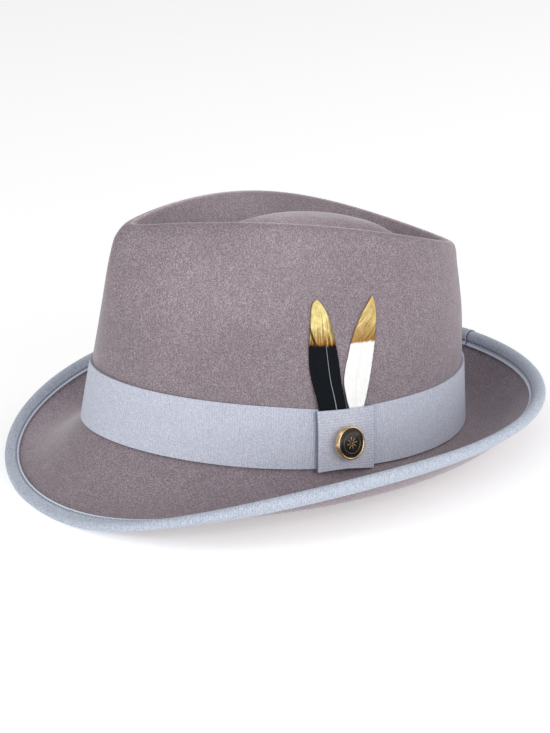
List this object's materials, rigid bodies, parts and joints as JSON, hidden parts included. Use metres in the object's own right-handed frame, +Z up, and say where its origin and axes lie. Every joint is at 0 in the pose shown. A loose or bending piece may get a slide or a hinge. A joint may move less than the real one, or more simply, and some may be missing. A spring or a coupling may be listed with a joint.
{
  "type": "trilby hat",
  "caption": "Trilby of grey wool felt: teardrop crown with raised middle, bound brim low in front and turned up behind, ribbon band with a tab, gold-tipped feathers and a round button",
  "frame": {"origin": "on the surface that the hat rests on, under the middle of its outer box", "axes": "+Z up, the front of the hat towards -Y, the wearer's left towards +X"},
  "size_m": [0.2648, 0.2804, 0.1329],
  "materials": {
    "felt": "matt brushed wool felt",
    "binding_ribbon": "fine ribbed ribbon, slight sheen",
    "band_ribbon": "fine ribbed ribbon, slight sheen",
    "black_feather": "soft barbs, tip dipped in gold",
    "white_feather": "soft barbs, tip dipped in gold",
    "button_metal": "polished",
    "button_enamel": "glossy enamel"
  },
  "bodies": {
    "root": {"felt_body": "felt", "brim_binding": "binding_ribbon", "hat_band": "band_ribbon", "band_tab": "band_ribbon", "black_feather": "black_feather", "white_feather": "white_feather", "button_rim": "button_metal", "button_face": "button_enamel"}
  },
  "joints": []
}
